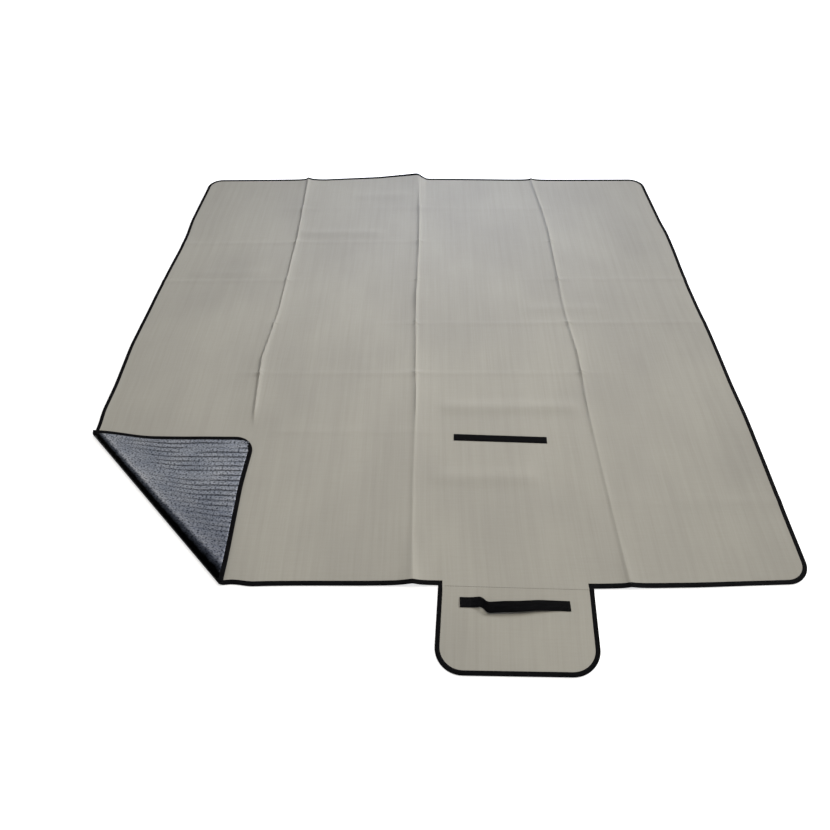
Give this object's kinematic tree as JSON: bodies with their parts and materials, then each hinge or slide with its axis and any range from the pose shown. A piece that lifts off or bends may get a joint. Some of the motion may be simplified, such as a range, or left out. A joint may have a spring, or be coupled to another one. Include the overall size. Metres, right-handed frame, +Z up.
{
  "type": "folding ground mat",
  "caption": "Square fold-up ground mat of woven fabric on foam with a silvery film underside, bound edges, one turned corner and a closure flap with a webbing handle.",
  "frame": {"origin": "on the ground under the middle of the whole outline, flap included", "axes": "+X to the right seen from the flap, +Y from the flap's end towards the back edge, +Z up"},
  "size_m": [2, 2.23, 0.0165],
  "materials": {
    "woven_fabric": "matt woven polyester",
    "foam": "closed-cell foam",
    "metallised_film": "ribbed metallised film, satin",
    "binding_tape": "matt woven tape",
    "thread": "matt sewing thread",
    "loop_pile": "brushed loop pile",
    "closure_tape": "matt woven tape",
    "hook_tape": "moulded hooks",
    "webbing": "woven polypropylene webbing"
  },
  "bodies": {
    "left": {"left_fabric": "woven_fabric", "left_foam": "foam", "left_film": "metallised_film", "left_binding": "binding_tape", "left_binding_thread": "thread", "corner_roll": "metallised_film"},
    "inner_left": {"inner_left_fabric": "woven_fabric", "inner_left_foam": "foam", "inner_left_film": "metallised_film", "inner_left_binding": "binding_tape", "inner_left_binding_thread": "thread"},
    "inner_right": {"inner_right_fabric": "woven_fabric", "inner_right_foam": "foam", "inner_right_film": "metallised_film", "inner_right_binding": "binding_tape", "inner_right_binding_thread": "thread", "loop_tape": "closure_tape", "loop_pile": "loop_pile", "loop_tape_thread": "thread"},
    "right": {"right_fabric": "woven_fabric", "right_foam": "foam", "right_film": "metallised_film", "right_binding": "binding_tape", "right_binding_thread": "thread"},
    "corner": {"corner_fabric": "woven_fabric", "corner_foam": "foam", "corner_film": "metallised_film", "corner_binding": "binding_tape", "corner_binding_thread": "thread"},
    "flap_spine": {"spine_fabric": "woven_fabric", "spine_foam": "foam", "spine_film": "metallised_film", "spine_binding": "binding_tape", "spine_binding_thread": "thread", "root_seam_thread": "thread", "handle_tab_left": "webbing", "handle_tab_right": "webbing", "tab_stitch_left": "thread", "tab_stitch_right": "thread"},
    "flap_tongue": {"tongue_fabric": "woven_fabric", "tongue_foam": "foam", "tongue_film": "metallised_film", "tongue_binding": "binding_tape", "tongue_binding_thread": "thread", "hook_tape": "hook_tape", "hook_tape_thread": "thread"},
    "handle": {"handle_strap": "webbing"}
  },
  "joints": [
    {"name": "middle_crease", "type": "hinge", "parent": "inner_right", "child": "inner_left", "pos_m": [0, 0, 0.0251], "axis": [0, 1, 0], "range_deg": [0, 179.9]},
    {"name": "left_crease", "type": "hinge", "parent": "inner_left", "child": "left", "pos_m": [-0.5, 0, 0.0135], "axis": [0, 1, 0], "range_deg": [0, 179.9]},
    {"name": "right_crease", "type": "hinge", "parent": "inner_right", "child": "right", "pos_m": [0.5, 0, 0.008], "axis": [0, -1, 0], "range_deg": [0, 179.9]},
    {"name": "corner_fold", "type": "hinge", "parent": "left", "child": "corner", "pos_m": [-1, -0.389, 0.008], "axis": [0.7071, -0.7071, 0], "range_deg": [0, 179.9], "deforming": ["corner_roll"]},
    {"name": "flap_root_fold", "type": "hinge", "parent": "inner_right", "child": "flap_spine", "pos_m": [0.247, -0.89, 0.015], "axis": [-1, 0, 0], "range_deg": [0, 90]},
    {"name": "flap_tongue_fold", "type": "hinge", "parent": "flap_spine", "child": "flap_tongue", "pos_m": [0.247, -0.995, 0.015], "axis": [-1, 0, 0], "range_deg": [0, 90]},
    {"name": "handle_lift", "type": "slide", "parent": "flap_spine", "child": "handle", "axis": [0, 0, 1], "range_m": [0, 0.03]}
  ]
}
